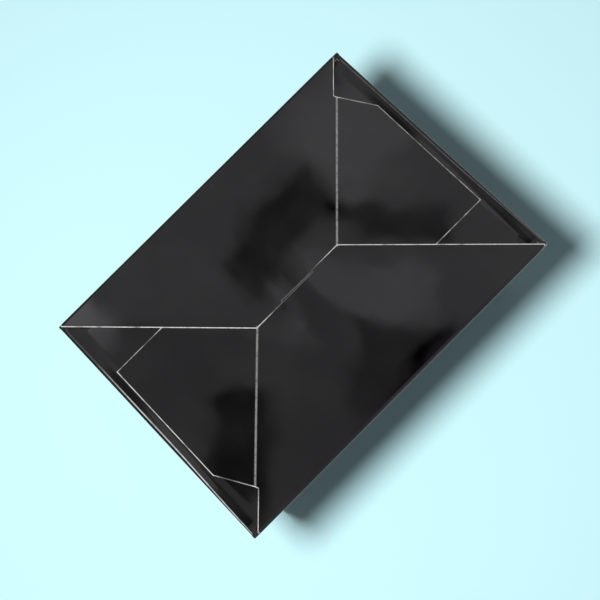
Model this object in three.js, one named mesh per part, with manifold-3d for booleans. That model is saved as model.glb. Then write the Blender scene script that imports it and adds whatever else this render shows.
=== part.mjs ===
// A crash lock carton with a tuck-in lid: one folded sheet of board, modelled as it stands when closed.
// X runs along the long side, the lid is on top, and the underside of the base lies on Z = 0.
// The lid is a mesh of its own, because it swings on the crease along the back wall.

import * as THREE from 'three';
import { mergeVertices } from 'three/addons/utils/BufferGeometryUtils.js';
import Module from 'manifold-3d';

const wasm = await Module();
wasm.setup();

// Driving dimensions, in millimetres and degrees
const boxLength = 122;
const boxWidth = 88;
const boxHeight = 60;
const boardThickness = 0.45;
const foldRadius = 0.8;
const foldLap = 0.5;
const foldSteps = 5;

// Base: how the four flaps are cut and how they lie on each other
const layerGap = 0.06;
const glueBite = 0.01;
const swapHalfLength = 6;
const swapSteps = 8;
const cornerRelief = 1.0;
const edgeCutBack = 0.9;
const edgeGap = 0.2;
const centreLap = 0.5;
const cutLap = 0.7;
const tabStart = 10.5;
const tabTaperEnd = 21.7;
const tabClearance = 3.75;
const tabEnd = 64.8;
const tabHiddenReach = 9;
const notchSize = 1.2;
const hookInner = 6.3;
const hookOuter = 15.5;
const hookDepth = 11;
const minorDepth = 38;
const minorShoulder = 12;
const minorShoulderInset = 7;
const minorInset = 17;
const creaseHalfWidth = 0.45;
const creaseDepth = 0.12;

// Side seam: a glue flap on the left wall, stuck to the inside of the back wall
const seamFlapWidth = 13;
const seamFlapInset = 3;
const seamFlapBevel = 4;
const seamSlit = 0.1;

// Top: dust flaps, lid and tuck
const hingeGap = 0.3;
const dustLength = 40;
const dustFrontInset = 2.0;
const dustBackInset = 0.8;
const dustShoulder = 14;
const dustTaper = 11;
const dustCornerRadius = 8;
const lidSideInset = 0.4;
const lidCornerRadius = 1.5;
const frontWallDrop = 0.15;
const tuckGap = 0.3;
const tuckDepth = 15;
const tuckLean = 6.5;
const tuckSideInset = 1.0;
const tuckSlitLength = 6;
const tuckSlitWidth = 0.4;
const tuckCornerRadius = 8;

const halfLength = boxLength / 2;
const halfWidth = boxWidth / 2;
const layerStep = boardThickness + layerGap;
const minorLevel = layerStep + boardThickness - glueBite;
const wallBottom = layerStep + foldRadius;
const dustLevel = boxHeight - boardThickness - hingeGap;
const wallTop = dustLevel - foldRadius;
const frontWallTop = boxHeight - frontWallDrop;

const filmColour = 0x1b1c1f;

// Manifold solids from closed three.js geometries
function toSolid(geometry) {
  const bare = geometry.index ? geometry.toNonIndexed() : geometry;
  bare.deleteAttribute('normal');
  bare.deleteAttribute('uv');
  const merged = mergeVertices(bare, 1e-5);
  return new wasm.Manifold(new wasm.Mesh({
    numProp: 3,
    vertProperties: new Float32Array(merged.attributes.position.array),
    triVerts: new Uint32Array(merged.index.array),
  }));
}

function toGeometry(solid) {
  const mesh = solid.getMesh();
  const geometry = new THREE.BufferGeometry();
  geometry.setAttribute('position', new THREE.BufferAttribute(mesh.vertProperties, 3));
  geometry.setIndex(new THREE.BufferAttribute(mesh.triVerts, 1));
  geometry.computeVertexNormals();
  return geometry;
}

function join(solids) {
  return solids.reduce((whole, next) => whole.add(next));
}

function shapeOf(points) {
  return new THREE.Shape(points.map(([x, y]) => new THREE.Vector2(x, y)));
}

function extrude(shape, depth) {
  return new THREE.ExtrudeGeometry(shape, { depth, bevelEnabled: false, curveSegments: foldSteps });
}

// An upright prism of a plan shape, between two heights
function prism(shape, low, high) {
  return toSolid(extrude(shape, high - low).translate(0, 0, low));
}

// A section drawn as (Y, Z), run along X
function alongX(shape, from, to) {
  const axes = new THREE.Matrix4().makeBasis(
    new THREE.Vector3(0, 1, 0), new THREE.Vector3(0, 0, 1), new THREE.Vector3(1, 0, 0));
  return toSolid(extrude(shape, to - from).applyMatrix4(axes).translate(from, 0, 0));
}

// A block whose underside follows level(x, y); the stations say where it is divided
function warpedBlock(xStations, yStations, level, thickness) {
  const nx = xStations.length - 1;
  const ny = yStations.length - 1;
  const block = new THREE.BoxGeometry(1, 1, 1, nx, ny, 1);
  const spots = block.attributes.position;
  for (let i = 0; i < spots.count; i++) {
    const x = xStations[Math.round((spots.getX(i) + 0.5) * nx)];
    const y = yStations[Math.round((spots.getY(i) + 0.5) * ny)];
    spots.setXYZ(i, x, y, level(x, y) + (spots.getZ(i) > 0 ? thickness : 0));
  }
  return toSolid(block);
}

function halfTurn(solid) {
  return solid.rotate([0, 0, 180]);
}

function mirrorX(solid) {
  return solid.mirror([1, 0, 0]);
}

// Section of a crease between a wall and a flap that turns in under it, as (inward, up)
function foldShape(wallLeg) {
  const shape = new THREE.Shape();
  shape.moveTo(0, foldRadius + wallLeg);
  shape.lineTo(0, foldRadius);
  shape.absarc(foldRadius, foldRadius, foldRadius, Math.PI, 1.5 * Math.PI, false);
  shape.lineTo(foldRadius + foldLap, 0);
  shape.lineTo(foldRadius + foldLap, boardThickness);
  shape.lineTo(foldRadius, boardThickness);
  shape.absarc(foldRadius, foldRadius, foldRadius - boardThickness, 1.5 * Math.PI, Math.PI, true);
  shape.lineTo(boardThickness, foldRadius + wallLeg);
  shape.closePath();
  return shape;
}

// The front long wall's crease, between two places along X
function longFold(from, to, wallLeg) {
  return alongX(foldShape(wallLeg), from, to).translate([0, -halfWidth, 0]);
}

// The right short wall's crease, between two places along Y
function shortFold(from, to, wallLeg) {
  return alongX(foldShape(wallLeg), from, to)
    .rotate([0, 0, 90])
    .translate([halfLength, 0, 0]);
}

// Walls: a ring with rounded corners, the seam flap inside it, and the long walls' upper strips
function roundedOutline(x, y, radius) {
  const shape = new THREE.Shape();
  shape.absarc(x - radius, y - radius, radius, 0, 0.5 * Math.PI, false);
  shape.absarc(radius - x, y - radius, radius, 0.5 * Math.PI, Math.PI, false);
  shape.absarc(radius - x, radius - y, radius, Math.PI, 1.5 * Math.PI, false);
  shape.absarc(x - radius, radius - y, radius, 1.5 * Math.PI, 2 * Math.PI, false);
  shape.closePath();
  return shape;
}

function makeWalls() {
  const ring = roundedOutline(halfLength, halfWidth, foldRadius);
  ring.holes.push(roundedOutline(
    halfLength - boardThickness, halfWidth - boardThickness, foldRadius - boardThickness));
  const seamX = -halfLength + boardThickness;
  const seamLow = wallBottom + seamFlapInset;
  const seamHigh = wallTop - seamFlapInset;
  const seamFlap = shapeOf([
    [seamX - glueBite, seamLow], [seamX + seamFlapWidth, seamLow + seamFlapBevel],
    [seamX + seamFlapWidth, seamHigh - seamFlapBevel], [seamX - glueBite, seamHigh]]);
  const upright = new THREE.Matrix4().makeRotationX(0.5 * Math.PI);
  const seam = toSolid(extrude(seamFlap, boardThickness + glueBite).applyMatrix4(upright))
    .translate([0, halfWidth - boardThickness + glueBite, 0]);
  const slitFloor = halfWidth - boardThickness + glueBite;
  const slit = prism(shapeOf([
    [seamX, slitFloor], [seamX + seamSlit, slitFloor],
    [seamX + seamSlit, halfWidth + foldRadius], [seamX, halfWidth + foldRadius]]), 0, boxHeight);
  const stripEnd = halfLength - foldRadius;
  const strip = (low, high) => alongX(shapeOf([
    [-halfWidth, low], [-halfWidth + boardThickness, low],
    [-halfWidth + boardThickness, high], [-halfWidth, high]]), -stripEnd, stripEnd);
  return join([
    prism(ring, wallBottom, wallTop),
    seam,
    strip(wallTop - foldLap, frontWallTop),
    halfTurn(strip(wallTop - foldLap, dustLevel)),
  ]).subtract(slit);
}

// The tucked half of a major flap lies one layer further in than the half that covers its neighbour
function majorLevel(x, y) {
  const along = THREE.MathUtils.smoothstep(x, -swapHalfLength, swapHalfLength);
  const across = THREE.MathUtils.clamp((y + halfWidth - foldRadius) / (halfWidth - foldRadius), 0, 1);
  return layerStep * along * across;
}

// The front major flap, seen in plan: u runs from its wall across the base, v in from the right wall
function makeMajorFlap() {
  const at = (u, v) => [halfLength - v, u - halfWidth];
  const cutBack = edgeCutBack * Math.SQRT2;
  const cutShift = cutLap * Math.SQRT2;
  const reliefEnd = tabStart - edgeCutBack;
  const hidden = boxWidth - tabEnd + tabHiddenReach;
  const centreX = halfLength - halfWidth;
  const outline = shapeOf([
    [-halfLength + foldRadius - cutShift + cornerRelief, -halfWidth + foldRadius],
    at(foldRadius, foldRadius + cutBack),
    at(reliefEnd, reliefEnd + cutBack),
    at(tabStart, tabStart),
    at(tabTaperEnd, tabClearance),
    at(tabEnd, tabClearance),
    at(tabEnd, hidden),
    [centreX + notchSize, notchSize],
    [centreX, 0],
    [hookOuter, notchSize],
    [hookOuter - notchSize, hookDepth],
    [hookInner + notchSize, hookDepth],
    [hookInner, -edgeGap / 2],
    [-hookInner, -edgeGap / 2],
    [-hookInner, centreLap],
    [-centreX - cutShift + centreLap, centreLap],
  ]);
  const swap = Array.from({ length: swapSteps + 1 },
    (_, i) => swapHalfLength * (2 * i / swapSteps - 1));
  const block = warpedBlock(
    [-halfLength, ...swap, halfLength],
    [-halfWidth, -halfWidth + foldRadius, -halfWidth * 2 / 3, -halfWidth / 3, 0, halfWidth],
    majorLevel, boardThickness);
  const sheet = prism(outline, -layerStep, 3 * layerStep).intersect(block);
  return sheet.subtract(makeCreaseGroove(at, centreX));
}

// The shallow channel that the creasing rule leaves between the flap and its glue tab
function makeCreaseGroove(at, centreX) {
  const start = new THREE.Vector3(...at(tabStart, tabStart), 0);
  const end = new THREE.Vector3(centreX, 0, 0);
  start.z = majorLevel(start.x, start.y);
  end.z = majorLevel(end.x, end.y);
  const along = end.clone().sub(start);
  const run = along.clone().normalize();
  const side = new THREE.Vector3(0, 0, 1).cross(run).normalize();
  const up = run.clone().cross(side);
  const section = shapeOf([
    [-2 * creaseHalfWidth, -creaseDepth], [2 * creaseHalfWidth, -creaseDepth], [0, creaseDepth]]);
  const axes = new THREE.Matrix4().makeBasis(side, up, run).setPosition(start);
  return toSolid(extrude(section, along.length()).applyMatrix4(axes));
}

// The right minor flap, which the front major flap's glue tab is stuck to
function minorFlapLevel(x) {
  const inward = halfLength - x;
  const rise = THREE.MathUtils.clamp((inward - foldRadius) / (tabClearance - foldRadius), 0, 1);
  return layerStep + (minorLevel - layerStep) * rise;
}

function makeMinorFlap() {
  const x = (v) => halfLength - v;
  const outline = shapeOf([
    [x(foldRadius), -halfWidth + foldRadius + cornerRelief],
    [x(minorShoulder), -halfWidth + minorShoulderInset],
    [x(minorDepth), -halfWidth + minorInset],
    [x(minorDepth), halfWidth - minorInset],
    [x(minorShoulder), halfWidth - minorShoulderInset],
    [x(foldRadius), halfWidth - foldRadius - cornerRelief],
  ]);
  const block = warpedBlock(
    [x(minorDepth + 1), x(tabClearance), x(foldRadius), halfLength],
    [-halfWidth, halfWidth],
    minorFlapLevel, boardThickness);
  return prism(outline, 0, 4 * layerStep).intersect(block);
}

// Half of the base: one major flap with its crease, and the minor flap that it is glued to
function makeBaseHalf() {
  const foldHalf = halfLength - foldRadius - cornerRelief;
  const minorFoldHalf = halfWidth - foldRadius - cornerRelief;
  return join([
    longFold(-foldHalf, foldHalf, layerStep + foldLap),
    makeMajorFlap(),
    shortFold(-minorFoldHalf, minorFoldHalf, foldLap).translate([0, 0, layerStep]),
    makeMinorFlap(),
  ]);
}

// The right dust flap, folded in from the top of the right wall
function makeDustFlap() {
  const front = -halfWidth + boardThickness + dustFrontInset;
  const back = halfWidth - boardThickness - dustBackInset;
  const tip = halfLength - dustLength;
  const shape = new THREE.Shape();
  shape.moveTo(halfLength - foldRadius, front);
  shape.lineTo(halfLength - foldRadius, back);
  shape.lineTo(halfLength - dustShoulder, back);
  const slope = dustTaper / (dustLength - dustShoulder);
  shape.lineTo(tip + dustCornerRadius, back - dustTaper + slope * dustCornerRadius);
  shape.quadraticCurveTo(tip, back - dustTaper, tip, back - dustTaper - dustCornerRadius);
  shape.lineTo(tip, front + dustCornerRadius);
  shape.quadraticCurveTo(tip, front, tip + dustCornerRadius, front);
  shape.closePath();
  const fold = shortFold(front, back, foldLap).mirror([0, 0, 1]).translate([0, 0, dustLevel]);
  return join([prism(shape, dustLevel - boardThickness, dustLevel), fold]);
}

function makeCarton() {
  const base = makeBaseHalf();
  const dust = makeDustFlap();
  return join([makeWalls(), base, halfTurn(base), dust, mirrorX(dust)]);
}

// Lid: a panel, a crease along its front, and the tuck that leans in behind the front wall
function makeLid() {
  const front = -halfWidth + boardThickness + tuckGap;
  const arcY = front + foldRadius;
  const side = halfLength - lidSideInset;
  const creaseHalf = halfLength - lidSideInset - tuckSlitLength;
  const lean = THREE.MathUtils.degToRad(tuckLean);

  const panel = new THREE.Shape();
  panel.moveTo(-side, halfWidth);
  panel.lineTo(-side, front + lidCornerRadius);
  panel.quadraticCurveTo(-side, front, -side + lidCornerRadius, front);
  panel.lineTo(-creaseHalf, front);
  panel.lineTo(-creaseHalf, arcY);
  panel.lineTo(creaseHalf, arcY);
  panel.lineTo(creaseHalf, front);
  panel.lineTo(side - lidCornerRadius, front);
  panel.quadraticCurveTo(side, front, side, front + lidCornerRadius);
  panel.lineTo(side, halfWidth);
  panel.closePath();

  const arcZ = boxHeight - foldRadius;
  const endAngle = Math.PI + lean;
  const innerRadius = foldRadius - boardThickness;
  const down = [Math.sin(lean), -Math.cos(lean)];
  const rim = (radius, run) => [
    arcY + radius * Math.cos(endAngle) + run * down[0],
    arcZ + radius * Math.sin(endAngle) + run * down[1]];
  const crease = new THREE.Shape();
  crease.moveTo(arcY + foldLap, boxHeight);
  crease.lineTo(arcY, boxHeight);
  crease.absarc(arcY, arcZ, foldRadius, 0.5 * Math.PI, endAngle, false);
  crease.lineTo(...rim(foldRadius, foldLap));
  crease.lineTo(...rim(innerRadius, foldLap));
  crease.lineTo(...rim(innerRadius, 0));
  crease.absarc(arcY, arcZ, innerRadius, endAngle, 0.5 * Math.PI, true);
  crease.lineTo(arcY + foldLap, boxHeight - boardThickness);
  crease.closePath();

  const tuckSide = side - tuckSideInset;
  const tuckLength = tuckDepth - foldRadius;
  const tuck = new THREE.Shape();
  tuck.moveTo(-creaseHalf, 0);
  tuck.lineTo(creaseHalf, 0);
  tuck.lineTo(creaseHalf, tuckSlitWidth);
  tuck.lineTo(tuckSide, tuckSlitWidth);
  tuck.lineTo(tuckSide, tuckLength - tuckCornerRadius);
  tuck.quadraticCurveTo(tuckSide, tuckLength, tuckSide - tuckCornerRadius, tuckLength);
  tuck.lineTo(tuckCornerRadius - tuckSide, tuckLength);
  tuck.quadraticCurveTo(-tuckSide, tuckLength, -tuckSide, tuckLength - tuckCornerRadius);
  tuck.lineTo(-tuckSide, tuckSlitWidth);
  tuck.lineTo(-creaseHalf, tuckSlitWidth);
  tuck.closePath();
  const [startY, startZ] = rim(foldRadius, 0);
  const axes = new THREE.Matrix4().makeBasis(
    new THREE.Vector3(1, 0, 0),
    new THREE.Vector3(0, down[0], down[1]),
    new THREE.Vector3(0, -down[1], down[0])).setPosition(0, startY, startZ);

  return join([
    prism(panel, boxHeight - boardThickness, boxHeight),
    alongX(crease, -creaseHalf, creaseHalf),
    toSolid(extrude(tuck, boardThickness).applyMatrix4(axes)),
  ]);
}

function makeMesh(name, solid) {
  const material = new THREE.MeshStandardMaterial({ color: filmColour, roughness: 0.18, metalness: 0 });
  const mesh = new THREE.Mesh(toGeometry(solid), material);
  mesh.name = name;
  return mesh;
}

const box = new THREE.Group();
box.add(makeMesh('carton', makeCarton()));
box.add(makeMesh('lid', makeLid()));

export default box;
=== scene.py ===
import math
import bmesh
import bpy
from mathutils import Matrix, Vector


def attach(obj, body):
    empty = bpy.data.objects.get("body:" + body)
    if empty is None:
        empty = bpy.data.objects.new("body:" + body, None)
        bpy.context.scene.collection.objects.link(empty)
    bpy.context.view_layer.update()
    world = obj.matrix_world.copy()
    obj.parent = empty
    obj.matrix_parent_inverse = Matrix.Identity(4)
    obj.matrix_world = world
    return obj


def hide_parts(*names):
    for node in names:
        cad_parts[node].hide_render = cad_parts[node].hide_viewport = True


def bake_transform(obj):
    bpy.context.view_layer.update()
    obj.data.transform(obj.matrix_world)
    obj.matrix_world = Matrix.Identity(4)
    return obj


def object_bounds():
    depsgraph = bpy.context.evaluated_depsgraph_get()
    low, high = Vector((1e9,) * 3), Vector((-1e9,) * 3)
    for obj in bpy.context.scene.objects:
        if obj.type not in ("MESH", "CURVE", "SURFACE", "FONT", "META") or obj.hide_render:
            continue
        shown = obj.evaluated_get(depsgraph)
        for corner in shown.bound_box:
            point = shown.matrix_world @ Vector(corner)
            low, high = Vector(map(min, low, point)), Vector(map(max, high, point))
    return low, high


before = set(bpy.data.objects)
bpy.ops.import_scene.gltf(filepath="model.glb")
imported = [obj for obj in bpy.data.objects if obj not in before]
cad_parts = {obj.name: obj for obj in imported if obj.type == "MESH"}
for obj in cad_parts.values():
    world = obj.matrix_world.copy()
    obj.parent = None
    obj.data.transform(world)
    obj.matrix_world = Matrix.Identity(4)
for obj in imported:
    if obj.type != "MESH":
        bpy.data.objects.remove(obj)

cadLow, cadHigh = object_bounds()
mm = 0.001

# The board and the folds, in millimetres; the outside sizes come from the frame
box = {
    "board": 0.45,
    "foldRadius": 0.8,
    "layerGap": 0.06,
    "foldSteps": 6,
    "hingeGap": 0.3,
    "flatMargin": 0.25,
    "sharpDegrees": 28,
    "near": 1e-3,
    "mergeDistance": 1e-4,
    "cutTolerance": 1e-5,
}
halfLength, halfWidth, height = cadHigh.x / mm, cadHigh.y / mm, cadHigh.z / mm
board, foldRadius = box["board"], box["foldRadius"]
layerStep = board + box["layerGap"]
wallBottom = layerStep + foldRadius
dustLevel = height - board - box["hingeGap"]
wallTop = dustLevel - foldRadius


class Value:
    # Wraps a socket, so that shader maths reads as plain sums
    def __init__(self, shader, socket):
        self.shader, self.socket = shader, socket

    def sum(self, operation, *terms):
        inputs = dict(enumerate(terms))
        return self.shader.add("ShaderNodeMath", {"operation": operation}, inputs)

    def __add__(self, other):
        return self.sum("ADD", self, other)

    def __sub__(self, other):
        return self.sum("SUBTRACT", self, other)

    def __mul__(self, other):
        return self.sum("MULTIPLY", self, other)

    def __rsub__(self, other):
        return self.sum("SUBTRACT", other, self)

    def __truediv__(self, other):
        return self.sum("DIVIDE", self, other)

    def __abs__(self):
        return self.sum("ABSOLUTE", self)

    __radd__ = __add__
    __rmul__ = __mul__

    def least(self, other):
        return self.sum("MINIMUM", self, other)

    def most(self, other):
        return self.sum("MAXIMUM", self, other)

    def fade(self, low, high, start=0.0, end=1.0):
        # start below low, end above high, smooth between them
        settings = {"interpolation_type": "SMOOTHSTEP"}
        inputs = {0: self, 1: low, 2: high, 3: start, 4: end}
        return self.shader.add("ShaderNodeMapRange", settings, inputs)


class Shader:
    def __init__(self, tree):
        self.tree = tree
        tree.nodes.clear()

    def add(self, kind, settings={}, inputs={}, output=0):
        node = self.tree.nodes.new(kind)
        for key, value in settings.items():
            setattr(node, key, value)
        for key, value in inputs.items():
            if isinstance(value, Value):
                self.tree.links.new(value.socket, node.inputs[key])
            else:
                node.inputs[key].default_value = value
        return Value(self, node.outputs[output]) if node.outputs else None

    def axes(self, vector):
        return [self.add("ShaderNodeSeparateXYZ", {}, {0: vector}, n) for n in range(3)]

    def place(self):
        return self.add("ShaderNodeTexCoord", {}, {}, "Object")

    def noise(self, where, scale, detail=2.0, rough=0.5):
        inputs = {"Vector": where, "Scale": scale, "Detail": detail, "Roughness": rough}
        return self.add("ShaderNodeTexNoise", {"noise_dimensions": "3D"}, inputs)

    def blend(self, share, first, second):
        # The two colours of this node are its inputs 6 and 7, and their mix is its output 2
        settings = {"data_type": "RGBA", "clamp_factor": True}
        return self.add("ShaderNodeMix", settings, {0: share, 6: first, 7: second}, 2)

    def bump(self, strength, distance, heightMap, normal=None):
        inputs = {"Strength": strength, "Distance": distance, "Height": heightMap}
        if normal is not None:
            inputs["Normal"] = normal
        return self.add("ShaderNodeBump", {}, inputs)

    def surface(self, colour, rough, normal):
        inputs = {"Base Color": colour, "Roughness": rough, "Normal": normal}
        skin = self.add("ShaderNodeBsdfPrincipled", {}, inputs)
        self.add("ShaderNodeOutputMaterial", {}, {"Surface": skin})


def newMaterial(name):
    material = bpy.data.materials.new(name)
    material.use_nodes = True
    return material, Shader(material.node_tree)


# Finishes of the board: lengths in millimetres, colours as linear light, scales in cells to the metre;
# a patch is the pair of noise levels between which it fades in

film = {
    "ink": (0.0035, 0.0035, 0.004, 1),
    "haze": (0.009, 0.009, 0.0095, 1),
    "hazeScale": 38,
    "hazePatch": (0.35, 0.75),
    "roughLow": 0.04,
    "roughHigh": 0.09,
    "roughScale": 70,
    "roughPatch": (0.3, 0.7),
    "speckColour": (0.30, 0.29, 0.28, 1),
    "speckScale": 260,
    "speckRadius": (0.03, 0.07),
    "speckPatchScale": 95,
    "speckPatch": (0.66, 0.70),
    "speckShare": 0.55,
    "grainScale": 1400,
    "grainDepth": 0.02,
    "grainStrength": 0.05,
    "waveScale": 55,
    "waveDepth": 0.25,
    "waveStrength": 0.35,
}

# The crease between a major flap and its glue tab, cracked where the board bends most
crack = {
    "colour": (0.34, 0.33, 0.32, 1),
    "scale": 900,
    "patch": (0.25, 0.6),
    "evenShare": 0.35,
    "coreHalfWidth": 0.12,
    "halfWidth": 0.45,
    "startBlur": 0.1,
    "strength": 0.75,
    "roughness": 0.4,
}

# Rubbed places: corners at the foot of the box; and a pale line along each short fold, partly rubbed
# board and partly a painted highlight on the fold's crest
wearAndFoldHighlight = {
    "colour": (0.62, 0.61, 0.60, 1),
    "roughness": 0.4,
    "tipReach": (4.0, 0.5),
    "tipDepth": (0.5, 0.1),
    "tipHeight": (1.0, 2.2),
    "tipScale": 700,
    "tipPatch": (0.3, 0.6),
    "worstTip": (15, 5),
    "otherTips": 0.25,
    "lineInset": 1.1,
    "lineInsetAtTip": 0.5,
    "lineTurns": (5, 44),
    "lineHalfWidth": (0.06, 0.26),
    "lineHeight": (1.5, 3.0),
    "lineStarts": (-32, -8),
    "lineFaint": 0.1,
    "lineRight": 0.12,
    "lineScale": 420,
    "linePatch": (0.38, 0.6),
    "lineEvenShare": 0.6,
    "sideBlur": 1,
}

# The core of the board where a die has cut it, darker between the flaps and along the glue tabs
cut = {
    "dull": (0.55, 0.54, 0.52, 1),
    "bright": (0.80, 0.79, 0.77, 1),
    "fibreScale": 1500,
    "fibrePatch": (0.3, 0.7),
    "fibreDepth": 0.03,
    "fibreStrength": 0.4,
    "smear": (0.12, 0.12, 0.12, 1),
    "smearScale": 240,
    "smearPatch": (0.48, 0.72),
    "smearShare": 0.7,
    "middle": (0.03, 0.03, 0.03, 1),
    "middleShare": 0.85,
    "middleHalfLength": (7, 17),
    "middleHalfWidth": (1, 2),
    "tab": (0.10, 0.10, 0.10, 1),
    "tabShare": (0.45, 0.85),
    "tabPatch": (0.35, 0.65),
    "tabFromCut": (1.2, 1.8),
    "cleanTabSide": (-57.0, -56.8),
    "baseHeight": (10, 20),
    "roughness": 0.9,
}

inside = {
    "dull": (0.60, 0.58, 0.54, 1),
    "bright": (0.68, 0.66, 0.62, 1),
    "toneScale": 60,
    "tonePatch": (0.3, 0.7),
    "fibreScale": 700,
    "fibreDepth": 0.03,
    "fibreStrength": 0.25,
    "fleck": (0.34, 0.30, 0.25, 1),
    "fleckScale": 420,
    "fleckPatch": (0.70, 0.78),
    "fleckShare": 0.35,
    "roughness": 0.88,
}


def metres(pair):
    return [value * mm for value in pair]


def backFrom(length, pair):
    return [(length - value) * mm for value in pair]


def glossFilm(name, creased=False, foldWornAndHighlighted=False):
    # Black print under a gloss film, with haze, fine waves and specks of dust
    material, shader = newMaterial(name)
    where = shader.place()
    axes = shader.axes(where)
    cloud = shader.noise(where, film["hazeScale"], detail=3).fade(*film["hazePatch"])
    colour = shader.blend(cloud, film["ink"], film["haze"])
    cells = {"Vector": where, "Scale": film["speckScale"]}
    specks = shader.add("ShaderNodeTexVoronoi", {"feature": "F1"}, cells)
    sparse = shader.noise(where, film["speckPatchScale"], detail=1).fade(*film["speckPatch"])
    dust = specks.fade(*film["speckRadius"], film["speckShare"], 0) * sparse
    colour = shader.blend(dust, colour, film["speckColour"])
    rough = shader.noise(where, film["roughScale"], detail=4)
    rough = rough.fade(*film["roughPatch"], film["roughLow"], film["roughHigh"])
    if creased:
        colour, rough = tabCrack(shader, where, axes, colour, rough)
    colour, rough = tipWear(shader, where, axes, colour, rough)
    # The fold line is partly wear and partly a painted highlight on the fold's crest
    if foldWornAndHighlighted:
        colour, rough = foldWearAndHighlight(shader, where, axes, colour, rough)
    grain = shader.noise(where, film["grainScale"], detail=2)
    waves = shader.noise(where, film["waveScale"], detail=1)
    normal = shader.bump(film["grainStrength"], film["grainDepth"] * mm, grain)
    normal = shader.bump(film["waveStrength"], film["waveDepth"] * mm, waves, normal)
    shader.surface(colour, rough, normal)
    return material


def tabCrack(shader, where, axes, colour, rough):
    # The crease runs at 45 degrees to the walls, from the end of the middle cut to the corner
    x, y, z = axes
    cutEnd, blur = halfLength - halfWidth, crack["startBlur"]
    across = abs((x + y) * x.sum("SIGN", x) - cutEnd * mm) * math.sqrt(0.5)
    cracks = shader.noise(where, crack["scale"], detail=3, rough=0.7).fade(*crack["patch"])
    core = across.fade(crack["coreHalfWidth"] * mm, crack["halfWidth"] * mm, 1.0, 0.0)
    tabSide = abs(x).fade((cutEnd - blur) * mm, (cutEnd + blur) * mm)
    line = core * tabSide * (crack["evenShare"] + (1 - crack["evenShare"]) * cracks)
    colour = shader.blend(line * crack["strength"], colour, crack["colour"])
    return colour, rough + line * crack["roughness"]


def tipWear(shader, where, axes, colour, rough):
    # The right rear corner is rubbed most
    x, y, z = axes
    tip = abs(x).fade(*backFrom(halfLength, wearAndFoldHighlight["tipReach"]))
    rim = abs(y).fade(*backFrom(halfWidth, wearAndFoldHighlight["tipDepth"]))
    low = z.fade(*metres(wearAndFoldHighlight["tipHeight"]), 1, 0)
    most = (x + y).fade(*backFrom(halfLength + halfWidth, wearAndFoldHighlight["worstTip"]), wearAndFoldHighlight["otherTips"], 1)
    chips = shader.noise(where, wearAndFoldHighlight["tipScale"], detail=4, rough=0.7).fade(*wearAndFoldHighlight["tipPatch"])
    worn = tip * rim * low * most * chips
    return shader.blend(worn, colour, wearAndFoldHighlight["colour"]), rough + worn * wearAndFoldHighlight["roughness"]


def foldWearAndHighlight(shader, where, axes, colour, rough):
    # A pale line along each short fold, partly rubbed board and partly a painted highlight on the crest;
    # most of it is on the left fold, and its line nears the outline at the rear tip
    x, y, z = axes
    inset = y.fade(*metres(wearAndFoldHighlight["lineTurns"]), wearAndFoldHighlight["lineInset"] * mm, wearAndFoldHighlight["lineInsetAtTip"] * mm)
    centre = halfLength * mm - inset
    fold = abs(abs(x) - centre).fade(*metres(wearAndFoldHighlight["lineHalfWidth"]), 1, 0)
    low = z.fade(*metres(wearAndFoldHighlight["lineHeight"]), 1, 0)
    left = x.fade(-wearAndFoldHighlight["sideBlur"] * mm, wearAndFoldHighlight["sideBlur"] * mm, 1, 0)
    along = y.fade(*metres(wearAndFoldHighlight["lineStarts"]), wearAndFoldHighlight["lineFaint"], 1) * left
    along = along + wearAndFoldHighlight["lineRight"] * (1 - left)
    chips = shader.noise(where, wearAndFoldHighlight["lineScale"], detail=4, rough=0.7).fade(*wearAndFoldHighlight["linePatch"])
    # Strength of the fold line, which is rubbed board and painted highlight alike
    worn = fold * low * along * (wearAndFoldHighlight["lineEvenShare"] + (1 - wearAndFoldHighlight["lineEvenShare"]) * chips)
    return shader.blend(worn, colour, wearAndFoldHighlight["colour"]), rough + worn * wearAndFoldHighlight["roughness"]


def rawEdge():
    material, shader = newMaterial("rawEdge")
    where = shader.place()
    x, y, z = shader.axes(where)
    cutEnd = (halfLength - halfWidth) * mm
    onBase = z.fade(*metres(cut["baseHeight"]), 1, 0)
    fromCut = abs(abs(x - y) - cutEnd).least(abs(abs(x + y) - cutEnd))
    tab = fromCut.fade(*metres(cut["tabFromCut"])) * abs(x).fade(cutEnd, cutEnd + mm) * onBase
    tab = tab * x.fade(*metres(cut["cleanTabSide"]))
    middle = abs(x).fade(*metres(cut["middleHalfLength"]), 1, 0)
    middle = middle * abs(y).fade(*metres(cut["middleHalfWidth"]), 1, 0) * onBase
    fibre = shader.noise(where, cut["fibreScale"], detail=3, rough=0.7)
    smear = shader.noise(where, cut["smearScale"], detail=3)
    colour = shader.blend(fibre.fade(*cut["fibrePatch"]), cut["dull"], cut["bright"])
    colour = shader.blend(smear.fade(*cut["smearPatch"], 0, cut["smearShare"]), colour, cut["smear"])
    colour = shader.blend(middle * cut["middleShare"], colour, cut["middle"])
    colour = shader.blend(tab * smear.fade(*cut["tabPatch"], *cut["tabShare"]), colour, cut["tab"])
    normal = shader.bump(cut["fibreStrength"], cut["fibreDepth"] * mm, fibre)
    shader.surface(colour, cut["roughness"], normal)
    return material


def uncoatedBack():
    # The pale, unprinted inside of the board
    material, shader = newMaterial("uncoatedBack")
    where = shader.place()
    fibre = shader.noise(where, inside["fibreScale"], detail=4, rough=0.65)
    tone = shader.noise(where, inside["toneScale"], detail=3).fade(*inside["tonePatch"])
    colour = shader.blend(tone, inside["dull"], inside["bright"])
    flecks = shader.noise(where, inside["fleckScale"], detail=2)
    flecks = flecks.fade(*inside["fleckPatch"], 0, inside["fleckShare"])
    colour = shader.blend(flecks, colour, inside["fleck"])
    normal = shader.bump(inside["fibreStrength"], inside["fibreDepth"] * mm, fibre)
    shader.surface(colour, inside["roughness"], normal)
    return material


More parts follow.
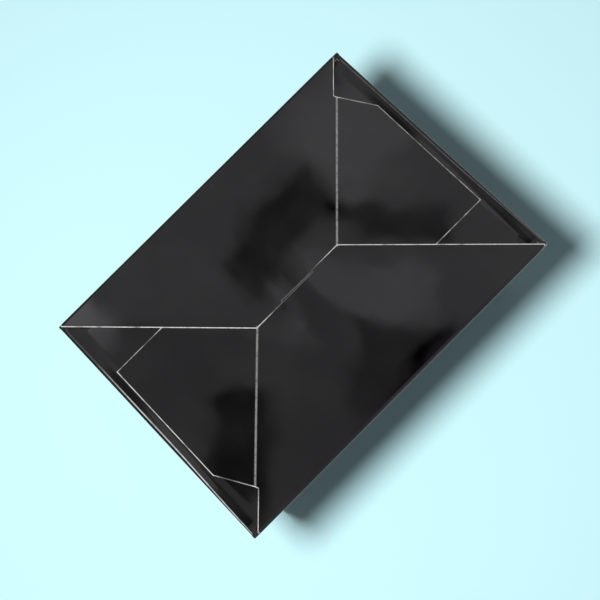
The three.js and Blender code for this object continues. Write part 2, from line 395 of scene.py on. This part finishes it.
raw, back = rawEdge(), uncoatedBack()
wallFilm = glossFilm("wallFilm")
majorFilm = glossFilm("majorFlapFilm", creased=True)
# The minor flaps carry the fold line of wear and painted highlight
minorFilm = glossFilm("minorFlapFilm", foldWornAndHighlighted=True)
lidFilm = glossFilm("lidFilm")
print("stage: finishes made")


# Sheets of board: a sheet is its printed face, in millimetres, and Solidify gives it the board behind it

def faceFrom(outline, level=0.0, up=False):
    bm = bmesh.new()
    face = bm.faces.new([bm.verts.new((x, y, level)) for x, y in outline])
    face.normal_update()
    if (face.normal.z > 0) != up:
        face.normal_flip()
    return bm


def cutEdge(bm, width, depth, up=False, bare=True):
    # Turns the rim of a sheet into a narrow slope, of bare board as a die leaves it, or inked black
    rim = bmesh.ops.inset_region(bm, faces=bm.faces[:], thickness=width,
                                 use_boundary=True, use_even_offset=True)
    for face in rim["faces"]:
        face.material_index = 2 if bare else 0
    for v in bm.verts:
        if v.is_boundary:
            v.co.z += -depth if up else depth


def allOf(bm):
    return bm.verts[:] + bm.edges[:] + bm.faces[:]


def trim(bm, place, normal):
    bmesh.ops.bisect_plane(bm, geom=allOf(bm), dist=box["cutTolerance"], plane_co=place, plane_no=normal,
                           clear_outer=True)


def cutAcross(bm, axis, places):
    # Adds edges where a sheet may bend, or where its shading should stay flat
    normal = Vector((0, 0, 0))
    normal[axis] = 1
    for place in places:
        bmesh.ops.bisect_plane(bm, geom=allOf(bm), dist=box["cutTolerance"],
                               plane_co=normal * place, plane_no=normal)


def steps(low, high, count):
    return [low + (high - low) * n / count for n in range(count + 1)]


def edgesWhere(bm, test):
    return [edge for edge in bm.edges if all(test(v.co) for v in edge.verts)]


def edgesAt(bm, axis, place):
    return edgesWhere(bm, lambda co: abs(co[axis] - place) < box["near"])


def pointOutward(bm, outward):
    # outward gives the way that the printed side of a face should look
    bmesh.ops.recalc_face_normals(bm, faces=bm.faces)
    if sum(face.normal.dot(outward(face)) for face in bm.faces) < 0:
        bmesh.ops.reverse_faces(bm, faces=bm.faces)


def grow(bm, edges, leg):
    # Runs a sheet on from its edges, and gives the new points and edges
    grown = bmesh.ops.extrude_edge_only(bm, edges=edges)["geom"]
    points = [part for part in grown if isinstance(part, bmesh.types.BMVert)]
    bmesh.ops.translate(bm, vec=leg, verts=points)
    return points, [part for part in grown if isinstance(part, bmesh.types.BMEdge)
                    and all(v in points for v in part.verts)]


def foldOver(bm, edges, centre, axis, degrees, leg=None):
    # Spins a crease from the edges of a panel, then runs it on along the wall by leg, where there is one
    spun = bmesh.ops.spin(bm, geom=edges, cent=centre, axis=axis, angle=math.radians(degrees),
                          steps=box["foldSteps"], use_merge=False)
    if leg is not None:
        grow(bm, [part for part in spun["geom_last"] if isinstance(part, bmesh.types.BMEdge)], leg)
    bmesh.ops.remove_doubles(bm, verts=bm.verts, dist=box["mergeDistance"])


def turned(bm):
    bmesh.ops.rotate(bm, verts=bm.verts, matrix=Matrix.Rotation(math.pi, 3, "Z"))


def hardenFinishEdges(mesh):
    # Film and bare board meet in a crisp edge
    bm = bmesh.new()
    bm.from_mesh(mesh)
    for edge in bm.edges:
        if len({face.material_index for face in edge.link_faces}) > 1:
            edge.smooth = False
    bm.to_mesh(mesh)
    bm.free()


def makeSheet(name, bm, skin, body, thickness=board):
    bmesh.ops.scale(bm, vec=(mm, mm, mm), verts=bm.verts)
    mesh = bpy.data.meshes.new(name)
    bm.to_mesh(mesh)
    bm.free()
    for material in (skin, back, raw, back, raw):
        mesh.materials.append(material)
    sheet = bpy.data.objects.new(name, mesh)
    bpy.context.scene.collection.objects.link(sheet)
    solid = sheet.modifiers.new("board", "SOLIDIFY")
    solid.thickness, solid.offset = thickness * mm, -1
    solid.use_even_offset = True
    # Behind a face comes the next finish of the list, and on the rim the one after it
    solid.material_offset, solid.material_offset_rim = 1, 2
    bpy.context.view_layer.update()
    done = bpy.data.meshes.new_from_object(sheet.evaluated_get(bpy.context.evaluated_depsgraph_get()))
    done.name = name
    sheet.modifiers.clear()
    sheet.data = done
    done.shade_smooth()
    done.set_sharp_from_angle(angle=math.radians(box["sharpDegrees"]))
    hardenFinishEdges(done)
    if body:
        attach(sheet, body)
    return sheet


# Base: two major flaps with their glue tabs, and two minor flaps

base = {
    "swapHalfLength": 6,
    "cornerRelief": 1.0,
    "edgeCutBack": 0.9,
    "edgeGap": 0.2,
    "centreLap": 0.5,
    "cutLap": 0.7,
    "tabStart": 10.5,
    "tabTaperEnd": 21.7,
    "tabClearance": 3.75,
    "tabEnd": 64.8,
    "tabHiddenReach": 9,
    "notchSize": 1.2,
    "hook": {"inner": 6.3, "outer": 15.5, "depth": 11},
    "minorRelief": 0.1,
    "minorDepth": 38,
    "minorShoulder": (12, 7),
    "minorInset": 17,
    "rawWidth": 0.28,
    "rawDepth": 0.10,
    "pastFold": 2.0,
    "majorCuts": {"x": (-60, 60, 30), "y": (-40, 16, 14)},
    "minorCuts": {"strip": 2.2, "x": (36, 6, 8), "y": (-40, 40, 20)},
}


def share(value, low, high):
    return min(max((value - low) / (high - low), 0), 1)


def smooth(value, low, high):
    part = share(value, low, high)
    return part * part * (3 - 2 * part)


def majorLevel(x, y):
    # The tucked half of a major flap lies one layer further in than the half that covers its neighbour
    across = share(y, foldRadius - halfWidth, 0)
    return layerStep * smooth(x, -base["swapHalfLength"], base["swapHalfLength"]) * across


def makeMajorFlap():
    flap = base
    at = lambda along, inward: (halfLength - inward, along - halfWidth)
    cutBack, cutShift = flap["edgeCutBack"] * math.sqrt(2), flap["cutLap"] * math.sqrt(2)
    reliefEnd = flap["tabStart"] - flap["edgeCutBack"]
    hidden = 2 * halfWidth - flap["tabEnd"] + flap["tabHiddenReach"]
    centreX = halfLength - halfWidth
    hook, notch, past = flap["hook"], flap["notchSize"], flap["pastFold"]
    outline = [
        (-halfLength + foldRadius - cutShift + flap["cornerRelief"], -halfWidth + foldRadius),
        (-halfLength + foldRadius - cutShift + flap["cornerRelief"], -halfWidth - past),
        at(-past, foldRadius + cutBack),
        at(foldRadius, foldRadius + cutBack),
        at(reliefEnd, reliefEnd + cutBack),
        at(flap["tabStart"], flap["tabStart"]),
        at(flap["tabTaperEnd"], flap["tabClearance"]),
        at(flap["tabEnd"], flap["tabClearance"]),
        at(flap["tabEnd"], hidden),
        (centreX + notch, notch),
        (centreX, 0),
        (hook["outer"], notch),
        (hook["outer"] - notch, hook["depth"]),
        (hook["inner"] + notch, hook["depth"]),
        (hook["inner"], -flap["edgeGap"] / 2),
        (-hook["inner"], -flap["edgeGap"] / 2),
        (-hook["inner"], flap["centreLap"]),
        (-centreX - cutShift + flap["centreLap"], flap["centreLap"]),
    ]
    bm = faceFrom(outline)
    cutEdge(bm, flap["rawWidth"], flap["rawDepth"])
    trim(bm, (0, -halfWidth + foldRadius, 0), (0, -1, 0))
    cutAcross(bm, 0, steps(*flap["majorCuts"]["x"]))
    cutAcross(bm, 1, [foldRadius + box["flatMargin"] - halfWidth] + steps(*flap["majorCuts"]["y"]))
    for v in bm.verts:
        v.co.z += majorLevel(v.co.x, v.co.y)
    foldOver(bm, edgesAt(bm, 1, -halfWidth + foldRadius), (0, -halfWidth + foldRadius, foldRadius),
             (1, 0, 0), -90, (0, 0, layerStep))
    return bm


def minorLevel(x):
    rise = share(halfLength - x, foldRadius, base["tabClearance"])
    return layerStep + board * rise


def makeMinorFlap():
    flap = base
    x = lambda inward: halfLength - inward
    reach = halfWidth - foldRadius - flap["minorRelief"]
    shoulder, shoulderInset = flap["minorShoulder"]
    outline = [
        (x(-flap["pastFold"]), -reach),
        (x(foldRadius), -reach),
        (x(shoulder), -halfWidth + shoulderInset),
        (x(flap["minorDepth"]), -halfWidth + flap["minorInset"]),
        (x(flap["minorDepth"]), halfWidth - flap["minorInset"]),
        (x(shoulder), halfWidth - shoulderInset),
        (x(foldRadius), reach),
        (x(-flap["pastFold"]), reach),
    ]
    bm = faceFrom(outline)
    cutEdge(bm, flap["rawWidth"], flap["rawDepth"], bare=False)
    trim(bm, (halfLength - foldRadius, 0, 0), (1, 0, 0))
    cuts = flap["minorCuts"]
    first, last, count = cuts["x"]
    cutAcross(bm, 0, [x(foldRadius + box["flatMargin"]), x(cuts["strip"]), x(flap["tabClearance"])])
    cutAcross(bm, 0, steps(x(first), x(last), count))
    cutAcross(bm, 1, steps(*cuts["y"]))
    for v in bm.verts:
        v.co.z += minorLevel(v.co.x)
    foldOver(bm, edgesAt(bm, 0, halfLength - foldRadius),
             (halfLength - foldRadius, 0, layerStep + foldRadius), (0, 1, 0), -90)
    return bm


makeSheet("frontMajorFlap", makeMajorFlap(), majorFilm, "carton")
bm = makeMajorFlap()
turned(bm)
makeSheet("backMajorFlap", bm, majorFilm, "carton")
makeSheet("rightMinorFlap", makeMinorFlap(), minorFilm, "carton")
bm = makeMinorFlap()
turned(bm)
makeSheet("leftMinorFlap", bm, minorFilm, "carton")
print("stage: base made")


# Walls: a ring with narrow creases at its corners, which also close the four tips of the base

wall = {
    "cornerRadius": 0.35,
    "frontDrop": 0.15,
    "tipReach": (2.2, 1.0),
    "tipRadius": 0.55,
    "tipSteps": 4,
    "tipBottom": 0.35,
    "tipCover": 1.2,
    "slitFromCorner": 0.45,
    "slitWidth": 0.12,
    "slack": 0.01,
}


def closeTips(bm, tipX, tipY):
    # Rolls the foot of each corner in under the box
    slack, radius, bottom = wall["slack"], wall["tipRadius"], wall["tipBottom"]
    foot = edgesWhere(bm, lambda co: co.z < wallBottom + slack and abs(co.x) > tipX - slack
                      and abs(co.y) > tipY - slack)
    edges = [edge for edge in foot if edge.calc_length() < 2 * wall["tipReach"][0]]
    turns = steps(0, math.pi / 2, wall["tipSteps"])
    rings = [(radius * (1 - math.cos(turn)), bottom + radius * (1 - math.sin(turn))) for turn in turns]
    inset = 0
    for inward, level in rings + [(radius + wall["tipCover"], bottom)]:
        points, edges = grow(bm, edges, (0, 0, 0))
        for v in points:
            v.co.x -= math.copysign(inward - inset, v.co.x)
            v.co.y -= math.copysign(inward - inset, v.co.y)
            v.co.z = level
        inset = inward


def openSlit(bm, low, high):
    # The bare edge of the back wall, where it meets the crease of the side seam
    def onSlit(face):
        centre = face.calc_center_median()
        return low < centre.x < high and centre.y > halfWidth - wall["slack"] and centre.z > wallBottom
    bmesh.ops.delete(bm, geom=[face for face in bm.faces if onSlit(face)], context="FACES")


def makeWalls():
    slack = wall["slack"]
    bm = faceFrom([(-halfLength, -halfWidth), (halfLength, -halfWidth),
                   (halfLength, halfWidth), (-halfLength, halfWidth)], wallBottom)
    bmesh.ops.bevel(bm, geom=bm.verts[:], offset=wall["cornerRadius"], affect="VERTICES",
                    segments=box["foldSteps"], profile=0.5, material=-1)
    rim = bm.edges[:]
    bmesh.ops.delete(bm, geom=bm.faces[:], context="FACES_ONLY")
    grow(bm, rim, (0, 0, wallTop - wallBottom))
    tipX, tipY = halfLength - wall["tipReach"][0], halfWidth - wall["tipReach"][1]
    slitStart = wall["slitFromCorner"] - halfLength
    slitEnd = slitStart + wall["slitWidth"]
    cutAcross(bm, 0, [-tipX, tipX, slitStart, slitEnd])
    cutAcross(bm, 1, [-tipY, tipY])
    for side, level in ((-halfWidth, height - wall["frontDrop"]), (halfWidth, dustLevel)):
        rim = edgesWhere(bm, lambda co: co.z > wallTop - slack and abs(co.y - side) < box["near"])
        grow(bm, rim, (0, 0, level - wallTop))
    closeTips(bm, tipX, tipY)
    openSlit(bm, slitStart, slitEnd)
    pointOutward(bm, lambda face: face.calc_center_median().xy.to_3d())
    return bm


top = {
    "seamWidth": 13,
    "seamInset": 3,
    "seamBevel": 4,
    "seamGap": 0.01,
    "dustLength": 40,
    "dustFrontInset": 2.0,
    "dustBackInset": 0.8,
    "dustShoulder": 14,
    "dustTaper": 11,
    "dustRound": 8,
    "dustCuts": 8,
    "dustCutMargin": 4,
}


def roundCorners(bm, places, radius, segments=8):
    corners = [v for v in bm.verts
               if any((v.co.xy - Vector(place)).length < box["near"] for place in places)]
    bmesh.ops.bevel(bm, geom=corners, offset=radius, affect="VERTICES", segments=segments,
                    profile=0.5, material=-1)


def makeDustFlap():
    front = board + top["dustFrontInset"] - halfWidth
    rear = halfWidth - board - top["dustBackInset"]
    tip = halfLength - top["dustLength"]
    foldX = halfLength - foldRadius
    start, margin = foldX + base["pastFold"], top["dustCutMargin"]
    outline = [(start, front), (start, rear), (halfLength - top["dustShoulder"], rear),
               (tip, rear - top["dustTaper"]), (tip, front)]
    bm = faceFrom(outline, dustLevel, up=True)
    roundCorners(bm, outline[3:], top["dustRound"])
    cutEdge(bm, base["rawWidth"], base["rawDepth"], up=True)
    trim(bm, (foldX, 0, 0), (1, 0, 0))
    cutAcross(bm, 0, steps(tip + margin, foldX - margin, top["dustCuts"]) + [foldX - box["flatMargin"]])
    foldOver(bm, edgesAt(bm, 0, foldX), (foldX, 0, dustLevel - foldRadius), (0, 1, 0), 90)
    return bm


def makeSeamFlap():
    start, low, high = board - halfLength, wallBottom + top["seamInset"], wallTop - top["seamInset"]
    end, bevel = start + top["seamWidth"], top["seamBevel"]
    bm = faceFrom([(start, low), (end, low + bevel), (end, high - bevel), (start, high)], up=True)
    bmesh.ops.rotate(bm, verts=bm.verts, matrix=Matrix.Rotation(math.pi / 2, 3, "X"))
    bmesh.ops.translate(bm, verts=bm.verts, vec=(0, halfWidth - board - top["seamGap"], 0))
    bmesh.ops.reverse_faces(bm, faces=bm.faces)
    return bm


walls = makeSheet("walls", makeWalls(), wallFilm, "carton")
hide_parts("carton")
makeSheet("seamFlap", makeSeamFlap(), wallFilm, "carton")
makeSheet("rightDustFlap", makeDustFlap(), minorFilm, "carton")
bm = makeDustFlap()
bmesh.ops.mirror(bm, geom=allOf(bm), axis="X", merge_dist=-1)
bmesh.ops.delete(bm, geom=[v for v in bm.verts if v.co.x > 0], context="VERTS")
bmesh.ops.recalc_face_normals(bm, faces=bm.faces)
makeSheet("leftDustFlap", bm, minorFilm, "carton")
print("stage: walls made")


# Lid: cut flat, then bent at its crease so that the tuck leans in behind the front wall

lid = {
    "sideInset": 0.4,
    "cornerRadius": 1.5,
    "frontGap": 0.3,
    "tuckDepth": 15,
    "tuckLean": 6.5,
    "tuckSideInset": 1.0,
    "slitLength": 6,
    "slitWidth": 0.4,
    "tuckRound": 8,
    "backGap": 0.7,
    "edgeShare": 0.5,
    "bendCuts": 8,
    "tuckCuts": (12, 4),
    "lengthCuts": (-56, 56, 28),
    "depthCuts": (-38, 40, 20),
    "creaseThickness": 0.3,
    "creaseSteps": 8,
}


def makeLid():
    front = -halfWidth + board + lid["frontGap"]
    foldY = front + foldRadius
    lean = math.radians(90 + lid["tuckLean"])
    bendLength = foldRadius * lean
    side = halfLength - lid["sideInset"]
    crease = side - lid["slitLength"]
    tuckSide = side - lid["tuckSideInset"]
    tuckTop = foldY - bendLength - lid["slitWidth"]
    tuckEnd = foldY - bendLength - (lid["tuckDepth"] - foldRadius)
    half = [(side, halfWidth - lid["backGap"]), (side, front), (crease + lid["slitWidth"], front),
            (crease + lid["slitWidth"], foldY), (crease, foldY), (crease, tuckTop),
            (tuckSide, tuckTop), (tuckSide, tuckEnd)]
    outline = half + [(-x, y) for x, y in reversed(half)]
    bm = faceFrom(outline, height, up=True)
    roundCorners(bm, [(side, front), (-side, front)], lid["cornerRadius"], segments=4)
    roundCorners(bm, [(tuckSide, tuckEnd), (-tuckSide, tuckEnd)], lid["tuckRound"])
    cutEdge(bm, base["rawWidth"] * lid["edgeShare"], base["rawDepth"] * lid["edgeShare"], up=True)
    bendEnd = foldY - bendLength
    reach, count = lid["tuckCuts"]
    cutAcross(bm, 1, steps(bendEnd, foldY, lid["bendCuts"]) + steps(bendEnd - reach, tuckTop, count))
    cutAcross(bm, 1, steps(*lid["depthCuts"]))
    cutAcross(bm, 0, steps(*lid["lengthCuts"]))
    shoulder = crease + lid["slitWidth"] / 2
    for v in bm.verts:
        past = foldY - v.co.y
        besideSlit = abs(v.co.x) > shoulder and past < foldRadius + box["near"]
        if past <= box["mergeDistance"] or besideSlit:
            continue
        turn = min(past / foldRadius, lean)
        rest = max(past - bendLength, 0)
        sink = height - v.co.z
        radius = foldRadius - sink
        v.co.y = foldY - radius * math.sin(turn) - rest * math.cos(turn)
        v.co.z = height - foldRadius + radius * math.cos(turn) - rest * math.sin(turn)
    return bm


def makeLidCrease():
    # The crease along the back
    radius = lid["backGap"]
    side = halfLength - lid["sideInset"]
    bm = bmesh.new()
    edge = bm.edges.new([bm.verts.new((x, halfWidth, dustLevel)) for x in (-side, side)])
    bmesh.ops.spin(bm, geom=[edge], cent=(0, halfWidth - radius, dustLevel), axis=(1, 0, 0),
                   angle=math.pi / 2, steps=lid["creaseSteps"], use_merge=False)
    stretch = (height - dustLevel) / radius
    for v in bm.verts:
        v.co.z = dustLevel + (v.co.z - dustLevel) * stretch
    cutAcross(bm, 0, steps(*lid["lengthCuts"]))
    pointOutward(bm, lambda face: Vector((0, 1, 0)))
    return bm


lidSheet = makeSheet("lid_sheet", makeLid(), lidFilm, "lid")
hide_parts("lid")
crease = makeSheet("lidCrease", makeLidCrease(), lidFilm, None, lid["creaseThickness"])
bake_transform(crease)
print("stage: lid made")


# Camera, at the photograph's angle: it looks up at the base; its place is in millimetres

view = {
    "place": (-7.98, 41.78, -231.2),
    "along": (0.0242, -0.1629, 0.9863),
    "up": (0.7064, -0.6954, -0.1322),
    "focalPixels": 780,
    "framePixels": 600,
    "sensorWidth": 36,
}


def makeCamera():
    camera = bpy.data.objects.new("camera", bpy.data.cameras.new("camera"))
    bpy.context.scene.collection.objects.link(camera)
    camera.data.sensor_width = view["sensorWidth"]
    camera.data.lens = view["sensorWidth"] * view["focalPixels"] / view["framePixels"]
    forward = Vector(view["along"]).normalized()
    right = forward.cross(Vector(view["up"])).normalized()
    up = right.cross(forward)
    turn = Matrix((right, up, -forward)).transposed()
    camera.matrix_world = Matrix.Translation(Vector(view["place"]) * mm) @ turn.to_4x4()
    bpy.context.scene.camera = camera


makeCamera()


# Studio: what the film mirrors is apart from what lights the board

studio = {
    "pale": (0.624, 0.956, 1.0, 1),
    "lowFill": 0.12,
    "highFill": 0.32,
    "horizonBlur": 0.02,
    "lowLamp": {"place": (-57, -10, -232), "radius": 29, "strength": 3.85},
    "highSun": {"travel": (0.45, 0.30, -1.0), "strength": 2.45, "angle": 9},
    "floorLevel": -0.1,
    "backdropLevel": 65,
    "reach": 3000,
    "firstPassed": (0.4, 0.6),
}

# The room that the film mirrors: a tone under the box, one beyond it, a side light that falls off
# towards the horizon with a bright panel across it, and a lighter ceiling
room = {
    "nearTone": 0.60,
    "leastSlope": 0.05,
    "nearEnds": (-0.92, -0.8),
    "farTone": 0.30,
    "overhead": 0.75,
    "overheadStarts": (0.15, 0.9),
    "lowTone": 0.62,
    "levelTone": 0.14,
    "levelStarts": (-0.5, -0.08),
    "sideStarts": (-0.75, -0.5),
    "sideEnds": (0.0, 0.3),
    "panel": 1.3,
    "panelTurn": (0.8, 0.6),
    "panelEdge": (0.05, 0.15),
    "slant": 0.6,
    "slantReach": 0.9,
    "slantTones": (0.6, 1.3),
    "raggedScale": 26,
    "raggedSize": 6,
    "blueTint": 1.04,
}

# Cards and flags under the box that its base mirrors, by the spot on the base that shows them:
# centre, half size and turn, softness, and how much lighter or darker than the room
mirrored = [
    {"spot": (8, -13), "half": (18, 6), "turn": 0, "soft": 5, "light": -0.52},
    {"spot": (33.5, 7), "half": (15, 3.5), "turn": 45, "soft": 3.5, "light": -0.46},
    {"spot": (11.0, 14.4), "half": (22, 8.5), "turn": 45, "soft": 1.5, "light": 0.28},
    {"spot": (-32.5, 32.5), "half": (90, 33.5), "turn": 45, "soft": 1.5, "light": -0.18},
    {"spot": (5.7, 36.8), "half": (16, 8), "turn": 45, "soft": 6, "light": -0.26},
    {"spot": (-51, 21.5), "half": (6, 21), "turn": 50, "soft": 6, "light": -0.42},
    {"spot": (-58, -40), "half": (5, 5), "turn": 0, "soft": 9, "light": 1.1},
    {"spot": (46, -18), "half": (12, 12), "turn": 0, "soft": 10, "light": 0.34},
    {"spot": (4, 41), "half": (20, 1.2), "turn": 0, "soft": 2, "light": -0.3},
    {"spot": (-128, -44), "half": (20, 22), "turn": 0, "soft": 18, "light": 0.95},
    {"spot": (128, 10), "half": (20, 40), "turn": 0, "soft": 15, "light": 0.75},
]


def cardTone(shader, ray, axes):
    # Finds the spot on the base where a ray from the camera is mirrored into this one
    x, y, z = axes
    depth = -view["place"][2]
    down = (0 - z).most(room["leastSlope"])
    ragged = (shader.noise(ray, room["raggedScale"], detail=3, rough=0.55) - 0.5) * room["raggedSize"]
    spotX = x * depth / down + view["place"][0] + ragged
    spotY = y * depth / down + view["place"][1] + ragged
    tone = room["nearTone"]
    for card in mirrored:
        turn = math.radians(card["turn"])
        awayX, awayY = spotX - card["spot"][0], spotY - card["spot"][1]
        along = abs(awayX * math.cos(turn) + awayY * math.sin(turn))
        across = abs(awayY * math.cos(turn) - awayX * math.sin(turn))
        halfAlong, halfAcross = card["half"]
        shape = (along.fade(halfAlong, halfAlong + card["soft"], 1, 0)
                 * across.fade(halfAcross, halfAcross + card["soft"], 1, 0))
        tone = tone + shape * card["light"]
    return tone


def roomTone(axes):
    x, y, z = axes
    panelX, panelY = room["panelTurn"]
    level = z.fade(*room["levelStarts"], room["lowTone"], room["levelTone"])
    level = level + abs(x * panelX + y * panelY).fade(*room["panelEdge"], room["panel"], 0)
    side = z.fade(*room["sideStarts"]) * z.fade(*room["sideEnds"], 1, 0)
    sky = z.fade(*room["overheadStarts"], room["farTone"], room["overhead"]) * (1 - side) + level * side
    reach = room["slantReach"]
    return sky * (x + y * room["slant"]).fade(-reach, reach, *room["slantTones"])


def makeWorld():
    world = bpy.data.worlds.new("studio")
    world.use_nodes = True
    bpy.context.scene.world = world
    shader = Shader(world.node_tree)
    ray = shader.add("ShaderNodeTexCoord", {}, {}, "Generated")
    axes = shader.axes(ray)
    rise = axes[2]
    near = rise.fade(*room["nearEnds"], 1, 0)
    mirrorTone = cardTone(shader, ray, axes) * near + roomTone(axes) * (1 - near)
    blur = studio["horizonBlur"]
    fillTone = rise.fade(-blur, blur, studio["lowFill"], studio["highFill"])
    mirrors = shader.add("ShaderNodeLightPath", {}, {}, "Is Glossy Ray")
    seen = shader.add("ShaderNodeLightPath", {}, {}, "Is Camera Ray")
    tone = mirrorTone * mirrors + fillTone * (1 - mirrors)
    grey = shader.add("ShaderNodeCombineColor", {}, {0: tone, 1: tone, 2: tone * room["blueTint"]})
    colour = shader.blend(seen, grey, studio["pale"])
    glow = shader.add("ShaderNodeBackground", {}, {"Color": colour, "Strength": 1.0})
    shader.add("ShaderNodeOutputWorld", {}, {"Surface": glow})


def makeSun(name, lamp):
    sun = bpy.data.objects.new(name, bpy.data.lights.new(name, "SUN"))
    bpy.context.scene.collection.objects.link(sun)
    sun.data.energy, sun.data.angle = lamp["strength"], math.radians(lamp["angle"])
    sun.rotation_euler = Vector(lamp["travel"]).to_track_quat("-Z", "Y").to_euler()
    sun.visible_glossy = False


def makeLowLamp():
    # Lights the base from beside the camera; its light doesn't fall off, so that the backdrop is even
    lamp = studio["lowLamp"]
    bulb = bpy.data.objects.new("lowLamp", bpy.data.lights.new("lowLamp", "POINT"))
    bpy.context.scene.collection.objects.link(bulb)
    bulb.location = Vector(lamp["place"]) * mm
    bulb.data.shadow_soft_size = lamp["radius"] * mm
    bulb.data.use_nodes = True
    shader = Shader(bulb.data.node_tree)
    even = shader.add("ShaderNodeLightFalloff", {}, {"Strength": lamp["strength"]}, "Constant")
    glow = shader.add("ShaderNodeEmission", {}, {"Strength": even})
    shader.add("ShaderNodeOutputLight", {}, {"Surface": glow})
    bulb.visible_glossy = bulb.visible_camera = False


def makePlane(name, level, facingDown):
    # A pale sheet that is seen from its front alone, and neither blocks lamps nor shows in the film
    bm = bmesh.new()
    bmesh.ops.create_grid(bm, x_segments=1, y_segments=1, size=studio["reach"] * mm)
    if facingDown:
        bmesh.ops.reverse_faces(bm, faces=bm.faces)
    bmesh.ops.translate(bm, verts=bm.verts, vec=(0, 0, level * mm))
    mesh = bpy.data.meshes.new(name)
    bm.to_mesh(mesh)
    bm.free()
    material, shader = newMaterial(name)
    paint = shader.add("ShaderNodeBsdfDiffuse", {}, {"Color": studio["pale"]})
    clear = shader.add("ShaderNodeBsdfTransparent")
    behind = shader.add("ShaderNodeNewGeometry", {}, {}, "Backfacing")
    hidden = behind
    if facingDown:
        # It shows only to a camera below the floor, whose rays have passed the clear floor first
        passed = shader.add("ShaderNodeLightPath", {}, {}, "Transparent Depth")
        hidden = behind.most(passed.fade(*studio["firstPassed"], 1, 0))
    mixed = shader.add("ShaderNodeMixShader", {}, {0: hidden, 1: paint, 2: clear})
    shader.add("ShaderNodeOutputMaterial", {}, {"Surface": mixed})
    mesh.materials.append(material)
    plane = bpy.data.objects.new(name, mesh)
    bpy.context.scene.collection.objects.link(plane)
    plane.visible_shadow = plane.visible_glossy = plane.visible_diffuse = False


makeWorld()
makeLowLamp()
makeSun("highSun", studio["highSun"])
makePlane("floor", studio["floorLevel"], False)
makePlane("backdrop", studio["backdropLevel"], True)
bpy.context.scene.view_settings.view_transform = "Standard"
print("stage: studio made")
